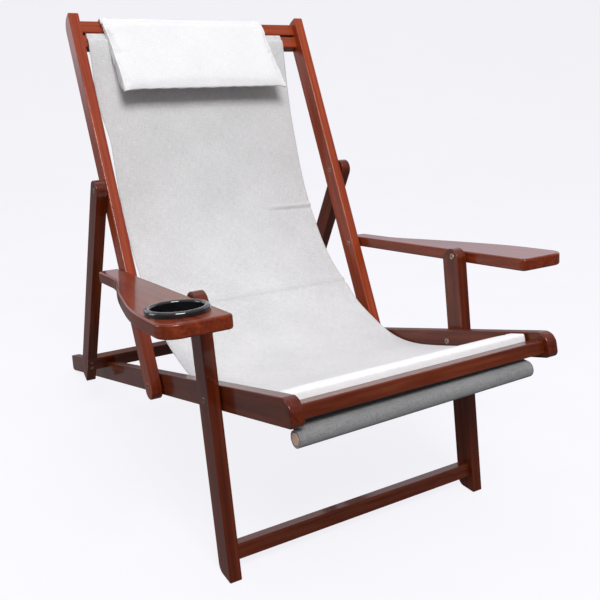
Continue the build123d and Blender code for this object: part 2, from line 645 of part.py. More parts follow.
def build():
    """Every node of the chair, by name."""
    outer = BACK_LAYER_X + STOCK
    inner_bar = SEAT_LAYER_X - 0.1
    back_bar = BACK_LAYER_X - 0.1
    arm = armrest()
    cup_hole = extrude(cup_plane() * Circle(CUP_HOLE_RADIUS), 60, both=True)
    nodes = {}
    rail = seat_rail()
    nodes["right_seat_rail"] = mirror(rail, Plane.YZ)
    nodes["left_seat_rail"] = rail
    nodes["front_bar"] = drilled(
        bar_between(seat_point, FRONT_BAR, inner_bar),
        both_tools(dowel_holes(seat_point, FRONT_BAR, SEAT_LAYER_X)),
    )
    nodes["sling_bar"] = drilled(
        bar_between(seat_point, SLING_BAR, inner_bar, SLING_BAR_RADIUS),
        both_tools(dowel_holes(seat_point, SLING_BAR, SEAT_LAYER_X)),
    )
    seat_pins = dowel_rows(seat_point, FRONT_BAR, SEAT_LAYER_X)
    seat_pins += dowel_rows(seat_point, SLING_BAR, SEAT_LAYER_X)
    nodes["seat_dowels"] = Compound(both_tools(seat_pins))
    nodes["front_sling_rod"] = risen(sling_rod(FRONT_ROLL, *FRONT_ROLL_X))
    nodes["seat_sling"] = seat_sling()

    rail = back_rail()
    nodes["right_back_rail"] = mirror(rail, Plane.YZ)
    nodes["left_back_rail"] = rail
    pins = []
    for name, box in (("upper_back_bar", UPPER_BAR), ("lower_back_bar", LOWER_BAR)):
        nodes[name] = drilled(
            bar_between(back_point, box, back_bar),
            both_tools(dowel_holes(back_point, box, BACK_LAYER_X)),
        )
        pins += dowel_rows(back_point, box, BACK_LAYER_X)
    nodes["back_dowels"] = Compound(both_tools(pins))
    nodes["top_sling_rod"] = sling_rod(back_point(*TOP_ROLL), SLING_LEFT_X, SLING_RIGHT_X)
    nodes["back_sling"] = back_sling()
    nodes["head_pillow"] = head_pillow()

    leg = front_leg()
    nodes["right_front_leg"] = mirror(leg, Plane.YZ)
    nodes["left_front_leg"] = leg
    nodes["leg_crossbar"] = drilled(
        bar_between(leg_point, LEG_BAR, back_bar),
        both_tools(dowel_holes(leg_point, LEG_BAR, BACK_LAYER_X)),
    )
    nodes["leg_dowels"] = Compound(both_tools(dowel_rows(leg_point, LEG_BAR, BACK_LAYER_X)))

    strut = prop_strut()
    nodes["right_prop_strut"] = mirror(strut, Plane.YZ)
    nodes["left_prop_strut"] = strut
    nodes["prop_crossbar"] = prop_bar()
    nodes["prop_screws"] = Compound(prop_screw_tools(0.0))

    nodes["right_armrest"] = arm - cup_hole
    nodes["left_armrest"] = mirror(arm, Plane.YZ)
    nodes["cup_holder"] = cup_holder()

    pivots = {
        "back_pivot": (BACK_PIVOT, SEAT_LAYER_X, outer),
        "leg_pivot": (LEG_PIVOT, SEAT_LAYER_X, outer),
        "prop_pivot": (PROP_PIVOT, BACK_LAYER_X, OUTER_LAYER_X + STOCK),
    }
    for name, (point, inner_x, outer_x) in pivots.items():
        nodes[name + "_bolts"] = both_sides(inner_bolt(point, inner_x))
        nodes[name + "_sleeve_nuts"] = both_sides(sleeve_nut(point, outer_x))
        gap_x = inner_x + STOCK + GAP
        nodes[name + "_washers"] = both_sides(washer(point, gap_x, SLEEVE_RADIUS + RUNNING_FIT))
    for side, side_name in ((1, "left"), (-1, "right")):
        bolt, insert = insert_and_bolt(ARM_REAR_PIVOT, side)
        nodes[side_name + "_arm_bolt"] = bolt
        nodes[side_name + "_arm_inserts"] = Compound([insert, insert_and_bolt(ARM_FRONT_PIVOT, side)[1]])
    front_bolt = socket_head(ARM_FRONT_PIVOT, BACK_LAYER_X + HEAD_POCKET, -1)
    front_bolt += rod_x(ARM_FRONT_PIVOT, SHANK_RADIUS, BACK_LAYER_X + HEAD_POCKET, outer + 0.5)
    nodes["arm_front_bolts"] = both_sides(front_bolt)
    return nodes


os.makedirs("parts", exist_ok=True)
for node_name, shape in build().items():
    export_step(shape, "parts/" + node_name + ".step")
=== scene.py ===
import math

import bpy
from mathutils import Matrix, Vector, noise
from mathutils.bvhtree import BVHTree


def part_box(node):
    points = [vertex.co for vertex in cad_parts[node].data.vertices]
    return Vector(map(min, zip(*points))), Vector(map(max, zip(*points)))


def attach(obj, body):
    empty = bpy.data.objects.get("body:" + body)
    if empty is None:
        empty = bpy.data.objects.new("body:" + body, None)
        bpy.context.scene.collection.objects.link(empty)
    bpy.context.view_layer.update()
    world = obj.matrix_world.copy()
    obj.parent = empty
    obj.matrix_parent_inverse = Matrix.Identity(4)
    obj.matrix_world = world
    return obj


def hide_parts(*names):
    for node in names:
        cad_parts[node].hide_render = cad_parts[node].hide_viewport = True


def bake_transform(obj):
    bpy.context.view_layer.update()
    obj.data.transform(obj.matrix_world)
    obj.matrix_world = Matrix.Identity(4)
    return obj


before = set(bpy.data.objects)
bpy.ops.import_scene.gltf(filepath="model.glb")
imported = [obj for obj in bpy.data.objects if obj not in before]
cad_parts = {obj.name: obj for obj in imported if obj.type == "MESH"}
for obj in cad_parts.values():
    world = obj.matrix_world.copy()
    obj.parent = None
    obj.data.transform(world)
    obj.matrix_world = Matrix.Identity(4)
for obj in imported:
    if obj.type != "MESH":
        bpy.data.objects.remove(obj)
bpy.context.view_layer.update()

# The chair's own directions: -Y is the front, +X is the sitter's left, metres.
BACK_TILT = math.radians(26.32)
BACK_TOP = Vector((0.0, 0.2254, 0.9727))
BACK_UP = Vector((0.0, math.sin(BACK_TILT), math.cos(BACK_TILT)))
BACK_REAR = Vector((0.0, math.cos(BACK_TILT), -math.sin(BACK_TILT)))
BACK_PIVOT = Vector((0.0, -0.113, 0.234))
LEG_PIVOT = Vector((0.0, -0.411, 0.316))
SEAT_FRONTWARD = (LEG_PIVOT - BACK_PIVOT).normalized()
SEAT_UP = Vector((0.0, SEAT_FRONTWARD.z, -SEAT_FRONTWARD.y))
LEG_UP = Vector((0.0, math.sin(math.radians(9.47)), math.cos(math.radians(9.47))))
PROP_UP = Vector((0.0, -math.sin(math.radians(27.2)), math.cos(math.radians(27.2))))
ARM_FORWARD = Vector((0.0, -math.cos(math.radians(5.43)), math.sin(math.radians(5.43))))
ACROSS = Vector((1.0, 0.0, 0.0))

# The sling. Its hems are counted inwards from each edge, and edges are given as low X, high X.
SHEET = 0.0013
HEM = 0.0222
HEM_STEP = 0.0010
HEM_RISE = 0.00055
OUTER_STITCH = 0.0065
INNER_STITCH = 0.0205
STITCH_WIDTH = 0.0018
CANVAS_STITCH = 0.0036
CANVAS_THREAD = 0.00042
STITCH_PULL = 0.00035
STITCH_LIFT = 0.00095
SLING_COLUMNS = 58
SLING_WIDTH = 0.478
TOP_ROLL_EDGES = (-0.2390, 0.2310)
FRONT_ROLL_EDGES = (-0.2515, 0.2110)
SLOT_TURN = 0.016

# Zones along the sling: 0 the top roll, 1 over the bars, 2 the sheet, 3 over the front bar, 4 the front roll.
ROLL_ZONE = 0
SHEET_ZONE = 2
FRONT_ZONE = 3

ROD_RADIUS = 0.0095
ROLL_RADIUS = 0.0138
ROLL_TURNS = 2.6
ROLL_RISE = math.tan(math.radians(0.87))
SLOT = 0.5275


def back_point(down, rearward):
    return BACK_TOP - BACK_UP * down + BACK_REAR * rearward


def seat_point(along, height):
    return BACK_PIVOT + SEAT_FRONTWARD * along + SEAT_UP * height


def clamp(value):
    return min(max(value, 0.0), 1.0)


def ease(value):
    """Nought to one with a level start and finish."""
    share = clamp(value)
    return share * share * (3 - 2 * share)


def bell(value, middle, width):
    return math.exp(-((value - middle) / width) ** 2)


def quads(rows, columns):
    """Faces of a grid of rows and columns of cells, whose points were added row by row."""
    width = columns + 1
    faces = []
    for row in range(rows):
        for column in range(columns):
            a = row * width + column
            faces.append((a, a + width, a + width + 1, a + 1))
    return faces


def row_normal(rows, index):
    """The side-plane normal of a polyline at one of its points."""
    before = rows[max(index - 1, 0)]
    after = rows[min(index + 1, len(rows) - 1)]
    along = (after - before).normalized()
    return Vector((0.0, -along.z, along.y))


def centre(node):
    low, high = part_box(node)
    return (low + high) / 2


# ---------------------------------------------------------------- materials

class Nodes:
    """Short names for building a node tree."""

    def __init__(self, name):
        self.material = bpy.data.materials.new(name)
        self.material.use_nodes = True
        self.tree = self.material.node_tree
        self.shader = self.tree.nodes["Principled BSDF"]

    def add(self, kind, **settings):
        node = self.tree.nodes.new(kind)
        for key, value in settings.items():
            if key in node.inputs:
                node.inputs[key].default_value = value
            else:
                setattr(node, key, value)
        return node

    def link(self, output, target):
        self.tree.links.new(output, target)

    def math(self, operation, first, second=None):
        node = self.add("ShaderNodeMath", operation=operation)
        for index, value in enumerate((first, second)):
            if value is None:
                continue
            if isinstance(value, (int, float)):
                node.inputs[index].default_value = value
            else:
                self.link(value, node.inputs[index])
        return node.outputs[0]

    def ramp(self, factor, *stops):
        node = self.add("ShaderNodeValToRGB")
        elements = node.color_ramp.elements
        for index, (place, colour) in enumerate(stops):
            element = elements[index] if index < len(elements) else elements.new(place)
            element.position = place
            element.color = (*colour, 1.0)
        self.link(factor, node.inputs["Fac"])
        return node.outputs["Color"]

    def noise(self, vector, scale, detail=4.0, roughness=0.55):
        node = self.add("ShaderNodeTexNoise", Scale=scale, Detail=detail, Roughness=roughness)
        self.link(vector, node.inputs["Vector"])
        return node.outputs["Fac"]

    def mix(self, factor, first, second, blend_type="MIX"):
        node = self.add("ShaderNodeMix", data_type="RGBA", blend_type=blend_type)
        for value, socket in ((factor, node.inputs[0]), (first, node.inputs[6]), (second, node.inputs[7])):
            if isinstance(value, (int, float)):
                socket.default_value = value
            elif isinstance(value, tuple):
                socket.default_value = (*value, 1.0)
            else:
                self.link(value, socket)
        return node.outputs[2]

    def bump(self, height, strength, distance, base=None):
        node = self.add("ShaderNodeBump", Strength=strength, Distance=distance)
        self.link(height, node.inputs["Height"])
        if base is not None:
            self.link(base, node.inputs["Normal"])
        return node.outputs["Normal"]

    def set(self, **values):
        for key, value in values.items():
            socket = self.shader.inputs[key.replace("_", " ")]
            if isinstance(value, (int, float)):
                socket.default_value = value
            elif isinstance(value, tuple):
                socket.default_value = (*value, 1.0)
            else:
                self.link(value, socket)
        return self.material


def grain_space(nodes, direction, seed):
    """Object coordinates turned so that their Z runs along the grain, shifted so that boards differ."""
    turn = direction.rotation_difference(Vector((0, 0, 1))).to_euler()
    place = nodes.add("ShaderNodeTexCoord").outputs["Object"]
    mapping = nodes.add("ShaderNodeMapping", Rotation=turn, Location=(seed * 0.37, seed * 0.91, seed * 1.7))
    nodes.link(place, mapping.inputs["Vector"])
    return mapping.outputs["Vector"]


def stretched(nodes, vector, along):
    """Coordinates squeezed along the grain, so that figure runs lengthwise."""
    mapping = nodes.add("ShaderNodeMapping", Scale=(1.0, 1.0, along))
    nodes.link(vector, mapping.inputs["Vector"])
    return mapping.outputs["Vector"]


def varnished_wood(name, direction, seed, depth=1.0):
    """Red-brown stained hardwood under gloss varnish: figure, pores, worn edges and slight ripple.

    The stain's colour is multiplied by depth, which paints shade: a smaller depth is a darker board, for
    boards that lie in shade.
    """
    n = Nodes(name)
    space = grain_space(n, direction, seed)
    figure = n.noise(stretched(n, space, 0.025), 60.0, 5.0, 0.6)
    streaks = n.noise(stretched(n, space, 0.02), 190.0, 3.0, 0.55)
    pores = n.noise(stretched(n, space, 0.035), 900.0, 2.0, 0.5)
    cloud = n.noise(space, 5.0, 2.0, 0.5)
    tone = n.math("ADD", n.math("MULTIPLY", figure, 0.45), n.math("MULTIPLY", streaks, 0.45))
    tone = n.math("ADD", tone, n.math("MULTIPLY", cloud, 0.10))
    colour = n.ramp(
        tone,
        (0.30, (0.110, 0.012, 0.003)),
        (0.45, (0.205, 0.028, 0.006)),
        (0.57, (0.290, 0.045, 0.010)),
        (0.72, (0.380, 0.074, 0.018)),
    )
    # Multiplies the whole board by depth: painted shade, darker for boards that lie in shade.
    colour = n.mix(1.0, colour, (depth, depth * 0.94, depth * 0.94), "MULTIPLY")
    dark_pores = n.ramp(pores, (0.34, (0.45, 0.36, 0.34)), (0.46, (1.0, 1.0, 1.0)))
    colour = n.mix(0.30, colour, dark_pores, "MULTIPLY")
    edge = n.add("ShaderNodeNewGeometry").outputs["Pointiness"]
    worn = n.ramp(edge, (0.515, (0.0, 0.0, 0.0)), (0.58, (1.0, 1.0, 1.0)))
    patches = n.noise(stretched(n, space, 0.1), 90.0)
    worn = n.math("MULTIPLY", worn, n.ramp(patches, (0.4, (0.1, 0.1, 0.1)), (0.7, (1.0, 1.0, 1.0))))
    colour = n.mix(n.math("MULTIPLY", worn, 0.14), colour, (0.38, 0.115, 0.045))
    ripple = n.bump(figure, 0.05, 0.0004)
    fine = n.bump(pores, 0.12, 0.00015, ripple)
    rough = n.math("ADD", n.math("MULTIPLY", streaks, 0.16), 0.24)
    coat_rough = n.math("ADD", n.math("MULTIPLY", cloud, 0.10), 0.05)
    waves = n.noise(stretched(n, space, 0.08), 70.0, 2.0)
    n.link(n.bump(waves, 0.04, 0.0003), n.shader.inputs["Coat Normal"])
    return n.set(
        Base_Color=colour, Roughness=rough, Normal=fine, Coat_Weight=0.50, Coat_Roughness=coat_rough,
        Specular_IOR_Level=0.10,
    )


def bare_wood(name):
    """Sanded softwood rod: pale pinkish, end grain rings, matt."""
    n = Nodes(name)
    space = grain_space(n, ACROSS, 3)
    rings = n.add(
        "ShaderNodeTexWave", wave_type="RINGS", rings_direction="Z", Scale=90.0, Distortion=2.5, Detail=2.0
    )
    n.link(space, rings.inputs["Vector"])
    fibre = n.noise(stretched(n, space, 0.03), 500.0)
    tone = n.math("ADD", n.math("MULTIPLY", rings.outputs["Fac"], 0.4), n.math("MULTIPLY", fibre, 0.6))
    colour = n.ramp(tone, (0.25, (0.42, 0.22, 0.15)), (0.7, (0.66, 0.44, 0.36)))
    return n.set(Base_Color=colour, Roughness=0.72, Normal=n.bump(fibre, 0.25, 0.0002))


def woven(name, light, dark, pitch, relief, tint):
    """Plain weave on UVs in metres: warp over weft, slubs, faint mottling, soft sheen."""
    n = Nodes(name)
    uv = n.add("ShaderNodeTexCoord").outputs["UV"]
    split = n.add("ShaderNodeSeparateXYZ")
    n.link(uv, split.inputs[0])
    wave = math.pi / pitch
    warp = n.math("SINE", n.math("MULTIPLY", split.outputs["X"], wave))
    weft = n.math("SINE", n.math("MULTIPLY", split.outputs["Y"], wave))
    cross = n.math("MULTIPLY", warp, weft)
    over = n.math("ABSOLUTE", cross)
    slub = n.add("ShaderNodeMapping", Scale=(1.0, 0.09, 1.0))
    n.link(uv, slub.inputs["Vector"])
    slub_warp = n.noise(slub.outputs["Vector"], 700.0, 2.0)
    slub = n.add("ShaderNodeMapping", Scale=(0.09, 1.0, 1.0))
    n.link(uv, slub.inputs["Vector"])
    slub_weft = n.noise(slub.outputs["Vector"], 700.0, 2.0)
    speckle = n.noise(uv, 420.0, 3.0, 0.6)
    mottle = n.noise(uv, 9.0, 3.0, 0.5)
    tone = n.math("ADD", n.math("MULTIPLY", over, 0.22), n.math("MULTIPLY", slub_warp, 0.26))
    tone = n.math("ADD", tone, n.math("MULTIPLY", slub_weft, 0.26))
    tone = n.math("ADD", tone, n.math("MULTIPLY", speckle, 0.20))
    tone = n.math("ADD", tone, n.math("MULTIPLY", mottle, 0.16))
    colour = n.ramp(tone, (0.38, dark), (0.66, light))
    colour = n.mix(n.math("MULTIPLY", mottle, 0.10), colour, tint, "MULTIPLY")
    height = n.math("ADD", over, n.math("MULTIPLY", speckle, 0.8))
    return n.set(
        Base_Color=colour, Roughness=0.88, Normal=n.bump(height, relief, 0.0004), Sheen_Weight=0.25,
        Sheen_Roughness=0.5, Specular_IOR_Level=0.25,
    )


def moulded_plastic(name):
    """Black gloss moulding with faint orange peel and handling marks."""
    n = Nodes(name)
    place = n.add("ShaderNodeTexCoord").outputs["Object"]
    smear = n.noise(place, 35.0, 5.0)
    peel = n.noise(place, 700.0, 2.0)
    rough = n.ramp(smear, (0.40, (0.05, 0.05, 0.05)), (0.75, (0.19, 0.19, 0.19)))
    colour = n.ramp(smear, (0.3, (0.004, 0.004, 0.005)), (0.8, (0.012, 0.011, 0.012)))
    return n.set(
        Base_Color=colour, Roughness=rough, Normal=n.bump(peel, 0.04, 0.0002), Coat_Weight=0.5,
        Coat_Roughness=0.04,
    )


def plated_steel(name):
    """Worn antique-brass plating: fine scratches, darker in the grime."""
    n = Nodes(name)
    place = n.add("ShaderNodeTexCoord").outputs["Object"]
    grime = n.noise(place, 260.0, 4.0)
    scratch = n.noise(stretched(n, place, 8.0), 900.0, 2.0)
    colour = n.ramp(grime, (0.35, (0.10, 0.075, 0.05)), (0.62, (0.46, 0.37, 0.27)))
    rough = n.math("ADD", n.math("MULTIPLY", scratch, 0.25), 0.22)
    return n.set(Base_Color=colour, Metallic=1.0, Roughness=rough, Normal=n.bump(scratch, 0.12, 0.0002))


def thread(name, colour):
    """Sewing thread: twisted, slightly glossy."""
    n = Nodes(name)
    place = n.add("ShaderNodeTexCoord").outputs["Object"]
    twist = n.noise(place, 3000.0, 1.0)
    shade = n.mix(n.math("MULTIPLY", twist, 0.4), colour, (0.45, 0.45, 0.45))
    return n.set(Base_Color=shade, Roughness=0.6, Normal=n.bump(twist, 0.3, 0.0002))


def dress(node, material):
    """Gives a CAD node one material."""
    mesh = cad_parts[node].data
    mesh.materials.clear()
    mesh.materials.append(material)


def painted_shade_depth(node):
    """Painted shade: the back's boards are coloured lightest, the arms in between, and the seat, legs and
    props darkest, as they lie more in shade.
    """
    if "back" in node:
        return 1.0
    if "arm" in node:
        return 0.55
    return 0.34


def dress_frame():
    """Materials for every CAD node that stays visible."""
    grain = {
        "seat_rail": SEAT_FRONTWARD,
        "back_rail": BACK_UP,
        "front_leg": LEG_UP,
        "prop_strut": PROP_UP,
        "armrest": ARM_FORWARD,
    }
    across = ("front_bar", "sling_bar", "upper_back_bar", "lower_back_bar", "leg_crossbar", "prop_crossbar")
    steel = plated_steel("bolt_steel")
    rod = bare_wood("bare_wood")
    seed = 0
    for node in sorted(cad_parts):
        seed += 1
        long_board = [direction for key, direction in grain.items() if node.endswith(key)]
        depth = painted_shade_depth(node)
        if long_board:
            dress(node, varnished_wood("wood_" + node, long_board[0], seed, depth))
        elif node in across:
            dress(node, varnished_wood("wood_" + node, ACROSS, seed, depth))
        elif node.endswith("_rod") or node.endswith("_dowels"):
            dress(node, rod)
        elif node == "cup_holder":
            dress(node, moulded_plastic("cup_plastic"))
        elif node not in ("seat_sling", "back_sling", "head_pillow"):
            dress(node, steel)


# ---------------------------------------------------------------- mesh helpers

def mesh_object(name, vertices, faces, uvs=None):
    mesh = bpy.data.meshes.new(name)
    mesh.from_pydata([tuple(v) for v in vertices], [], faces)
    if uvs is not None:
        layer = mesh.uv_layers.new(name="weave")
        for loop in mesh.loops:
            layer.data[loop.index].uv = uvs[loop.vertex_index]
    mesh.polygons.foreach_set("use_smooth", [True] * len(mesh.polygons))
    obj = bpy.data.objects.new(name, mesh)
    bpy.context.scene.collection.objects.link(obj)
    return obj


def apply_modifiers(obj):
    """Replaces an object's mesh by its evaluated one."""
    bpy.context.view_layer.update()
    graph = bpy.context.evaluated_depsgraph_get()
    shaped = obj.evaluated_get(graph)
    mesh = bpy.data.meshes.new_from_object(shaped, preserve_all_data_layers=True, depsgraph=graph)
    obj.modifiers.clear()
    obj.data = mesh
    return obj


def rounded_path(corners, step):
    """Points about step apart along straight runs whose corners are arcs; corners are (point, radius)."""
    points = []
    for index, (corner, radius) in enumerate(corners):
        if index in (0, len(corners) - 1) or radius == 0:
            points.append(corner)
            continue
        before = (corners[index - 1][0] - corner).normalized()
        after = (corners[index + 1][0] - corner).normalized()
        half = before.angle(after) / 2
        reach = radius / math.tan(half)
        middle = corner + (before + after).normalized() * radius / math.sin(half)
        start = corner + before * reach
        end = corner + after * reach
        sweep = math.pi - 2 * half
        count = max(2, round(sweep * radius / step * 2))
        first = (start - middle).normalized()
        last = (end - middle).normalized()
        for part in range(count + 1):
            points.append(middle + first.slerp(last, part / count).normalized() * radius)
    return points


def resample(points, step):
    """Points along a polyline, evenly about step apart, with both ends kept."""
    lengths = [0.0]
    for first, second in zip(points, points[1:]):
        lengths.append(lengths[-1] + (second - first).length)
    count = max(2, round(lengths[-1] / step))
    result = []
    index = 0
    for part in range(count + 1):
        target = lengths[-1] * part / count
        while index < len(points) - 2 and lengths[index + 1] < target:
            index += 1
        span = lengths[index + 1] - lengths[index]
        share = (target - lengths[index]) / span if span else 0.0
        result.append(points[index].lerp(points[index + 1], share))
    return result


def smooth_curve(points, per_span=16):
    """A Catmull-Rom curve through the points."""
    result = []
    for index in range(len(points) - 1):
        p0 = points[max(index - 1, 0)]
        p1 = points[index]
        p2 = points[index + 1]
        p3 = points[min(index + 2, len(points) - 1)]
        for part in range(per_span):
            t = part / per_span
            result.append(
                0.5 * (2 * p1 + (p2 - p0) * t + (2 * p0 - 5 * p1 + 4 * p2 - p3) * t * t
                       + (3 * p1 - p0 - 3 * p2 + p3) * t ** 3)
            )
    result.append(points[-1])
    return result


def side(y, z):
    return Vector((0.0, y, z))


def spiral(middle, end_angle, turns, outward):
    """Fabric wound round a rod: from the rod out to the roll's surface, ending at end_angle."""
    points = []
    count = int(turns * 40)
    inner = ROD_RADIUS + SHEET * 0.7
    for part in range(count + 1):
        share = part / count
        angle = end_angle - outward * (1 - share) * turns * 2 * math.pi
        radius = inner + (ROLL_RADIUS - inner) * share
        points.append(middle + Vector((0.0, math.cos(angle), math.sin(angle))) * radius)
    return points


# ---------------------------------------------------------------- sewing

def tube(vertices, faces, first, last, radius, sides=5):
    """Adds a short closed tube with tapered ends to a list of vertices and faces."""
    along = (last - first).normalized()
    spare = ACROSS if abs(along.x) < 0.8 else Vector((0, 0, 1))
    one = along.cross(spare).normalized()
    two = along.cross(one)
    base = len(vertices)
    for share, grow in ((0.0, 0.35), (0.22, 1.0), (0.78, 1.0), (1.0, 0.35)):
        place = first.lerp(last, share)
        for corner in range(sides):
            angle = 2 * math.pi * corner / sides
            vertices.append(place + (one * math.cos(angle) + two * math.sin(angle)) * radius * grow)
    for ring in range(3):
        for corner in range(sides):
            a = base + ring * sides + corner
            b = base + ring * sides + (corner + 1) % sides
            faces.append((a, b, b + sides, a + sides))
    faces.append(tuple(base + corner for corner in reversed(range(sides))))
    faces.append(tuple(base + 3 * sides + corner for corner in range(sides)))


def stitches(name, line, pitch, radius, material):
    """A row of lock stitches along a line of points: short threads with gaps between them."""
    vertices = []
    faces = []
    points = resample(line, pitch)
    for first, second in zip(points, points[1:]):
        tube(vertices, faces, first.lerp(second, 0.12), first.lerp(second, 0.88), radius)
    row = mesh_object(name, vertices, faces)
    row.data.materials.append(material)
    return row


def piping(name, line, radius, material):
    """A soft cord along a closed or open line of points."""
    sides = 8
    vertices = []
    faces = []
    uvs = []
    travelled = 0.0
    for index, point in enumerate(line):
        before = line[max(index - 1, 0)]
        after = line[min(index + 1, len(line) - 1)]
        along = (after - before).normalized()
        one = along.cross(ACROSS).normalized()
        two = along.cross(one)
        travelled += (point - before).length
        for corner in range(sides):
            angle = 2 * math.pi * corner / sides
            vertices.append(point + (one * math.cos(angle) + two * math.sin(angle)) * radius)
            uvs.append((radius * angle, travelled))
    for ring in range(len(line) - 1):
        for corner in range(sides):
            a = ring * sides + corner
            b = ring * sides + (corner + 1) % sides
            faces.append((a, b, b + sides, a + sides))
    faces.append(tuple(reversed(range(sides))))
    faces.append(tuple((len(line) - 1) * sides + corner for corner in range(sides)))
    cord = mesh_object(name, vertices, faces, uvs)
    cord.data.materials.append(material)
    return cord


# ---------------------------------------------------------------- sling

def sling_path():
    """The sheet's middle line in the side plane, from the top roll to the front roll."""
    top = centre("top_sling_rod")
    front = centre("front_sling_rod")
    front.z -= front.x * ROLL_RISE
    top.x = front.x = 0.0
    gap = 0.0385
    leave = math.atan2(BACK_UP.z, BACK_UP.y)
    top_roll = spiral(top, leave, ROLL_TURNS, 1.0)
    over_bar = rounded_path(
        [
            (top_roll[-1], 0.0),
            (back_point(gap, 0.0605 - 0.004), 0.004),
            (back_point(gap, 0.0172), 0.0022),
            (back_point(0.052, 0.0172), 0.0),
        ],
        0.002,
    )
    sheet = smooth_curve(
        [
            back_point(0.052, 0.0172),
            side(0.2075, 0.9040),
            side(0.1860, 0.7785),
            side(0.1510, 0.6565),
            side(0.1120, 0.5455),
            side(0.0620, 0.4605),
            side(0.0070, 0.4012),
            side(-0.0540, 0.3562),
            side(-0.1140, 0.3160),
            side(-0.2210, 0.2845),
            side(-0.3180, 0.2865),
            side(-0.4540, 0.3195),
            side(-0.5400, 0.3620),
            seat_point(0.4880, 0.0197),
            seat_point(0.5000, 0.0207),
        ]
    )
    over_front = rounded_path(
        [
            (sheet[-1], 0.0),
            (seat_point(SLOT, 0.0207), 0.0035),
            (seat_point(SLOT, -0.0175), 0.006),
            (front + Vector((0.0, 0.006, ROLL_RADIUS)), 0.0),
        ],
        0.002,
    )
    winding = spiral(front, math.radians(75), ROLL_TURNS, -1.0)
    winding.reverse()
    return top_roll, over_bar[1:], sheet[1:], over_front[1:], winding


def sling_edges(z):
    """The sheet's low and high X at a height: the first flares out at the top, the second draws in."""
    flare = ease((z - 0.69) / 0.11)
    draw_in = clamp((z - 0.35) / 0.4)
    return -0.2400 - 0.0155 * flare, 0.2390 - 0.0140 * draw_in


def sling_shares():
    """Column places from edge to edge, closer together across each hem."""
    hem = [0.0, 0.003, 0.006, 0.010, 0.015, 0.0195, 0.0222, 0.0232, 0.0245, 0.028]
    left = [place / SLING_WIDTH for place in hem]
    count = SLING_COLUMNS
    first = left[-1]
    inside = [first + (1 - 2 * first) * part / count for part in range(1, count)]
    return left + inside + [1 - share for share in reversed(left)]


def sling_rows():
    """The sheet's rows in the side plane, the zone of each, and the length of sheet up to each."""
    steps = (0.0022, 0.0022, 0.0032, 0.0022, 0.0022)
    rows = []
    zones = []
    for zone, (points, step) in enumerate(zip(sling_path(), steps)):
        line = resample(points, step)
        start = 1 if rows else 0
        rows += line[start:]
        zones += [zone] * (len(line) - start)
    lengths = [0.0]
    for first, second in zip(rows, rows[1:]):
        lengths.append(lengths[-1] + (second - first).length)
    return rows, zones, lengths


def zone_span(zones, lengths, zone):
    """The first row of a zone, its number of rows, and the lengths at its two ends."""
    count = zones.count(zone)
    first = zones.index(zone)
    return first, count, lengths[first], lengths[first + count - 1]


def hem_height(inset):
    """How far a hem's doubled cloth stands up, drawn down along its two rows of stitches."""
    raised = HEM_RISE * (1 - clamp((inset - HEM) / HEM_STEP))
    pulled = STITCH_PULL * (bell(inset, OUTER_STITCH, STITCH_WIDTH) + bell(inset, INNER_STITCH, STITCH_WIDTH))
    return raised - pulled


def sling_surface():
    """The whole sling's points and UVs, the lines its stitches follow, and the zone of each row."""
    rows, zones, lengths = sling_rows()
    shares = sling_shares()
    _, _, sheet_start, sheet_end = zone_span(zones, lengths, SHEET_ZONE)
    _, _, over_start, over_end = zone_span(zones, lengths, FRONT_ZONE)
    vertices = []
    uvs = []
    seams = {OUTER_STITCH: [], INNER_STITCH: [], -OUTER_STITCH: [], -INNER_STITCH: []}
    for index, middle in enumerate(rows):
        normal = row_normal(rows, index)
        low, high = sling_edges(middle.z)
        turn = 0.0
        if zones[index] >= FRONT_ZONE:
            turn = ease((lengths[index] - over_start - SLOT_TURN) / (over_end - over_start - SLOT_TURN))
            low += (FRONT_ROLL_EDGES[0] - low) * turn
            high += (FRONT_ROLL_EDGES[1] - high) * turn
        if zones[index] == ROLL_ZONE:
            low, high = TOP_ROLL_EDGES
        in_sheet = zones[index] == SHEET_ZONE
        travel = (lengths[index] - sheet_start) / (sheet_end - sheet_start)
        fade = clamp(min(travel, 1 - travel) * 9) if in_sheet else 0.0
        width = high - low

        def place(x, lift):
            share = (x - low) / width
            offset = fade * ripple(x, lengths[index] - sheet_start, travel, share) + lift
            offset += corner_curl(x, travel)
            return Vector((x, middle.y, middle.z + turn * x * ROLL_RISE)) + normal * offset

        for share in shares:
            x = low + width * share
            inset = min(share, 1 - share) * width
            vertices.append(place(x, hem_height(inset) if in_sheet else 0.0))
            uvs.append((x, lengths[index]))
        if in_sheet:
            for inset, line in seams.items():
                x = low + inset if inset > 0 else high + inset
                line.append(place(x, STITCH_LIFT))
    return vertices, uvs, seams, zones, zone_span(zones, lengths, FRONT_ZONE)


def make_sling(cloths, sewing):
    """One continuous sheet: wound on the top rod, over the bars, down the seat and on to the front rod.

    The cloths are the plain canvas, a lighter copy for the strip over the front bar that is a painted
    highlight, and a darker copy for the front roll that is painted shade.
    """
    vertices, uvs, seams, zones, front_span = sling_surface()
    columns = len(sling_shares()) - 1
    sling = mesh_object("canvas_sling", vertices, quads(len(zones) - 1, columns), uvs)
    for cloth in cloths:
        sling.data.materials.append(cloth)
    first_over, over_count, _, _ = front_span
    plain, lit_strip, shaded_roll = range(3)
    for polygon in sling.data.polygons:
        row = polygon.index // columns
        polygon.material_index = plain
        # The strip over the front bar gets the lighter canvas, a painted highlight; the front roll gets the
        # darker canvas, painted shade.
        if row > first_over - 3:
            polygon.material_index = lit_strip
        if row > first_over + over_count // 2:
            polygon.material_index = shaded_roll
    thick = sling.modifiers.new("thickness", "SOLIDIFY")
    thick.thickness = SHEET
    thick.offset = 0.0
    apply_modifiers(sling)
    sewn = []
    for inset, line in seams.items():
        side_name = "right" if inset > 0 else "left"
        row_name = "outer" if abs(inset) == OUTER_STITCH else "inner"
        name = f"sling_{side_name}_{row_name}_stitching"
        sewn.append(stitches(name, line, CANVAS_STITCH, CANVAS_THREAD, sewing))
    return sling, sewn


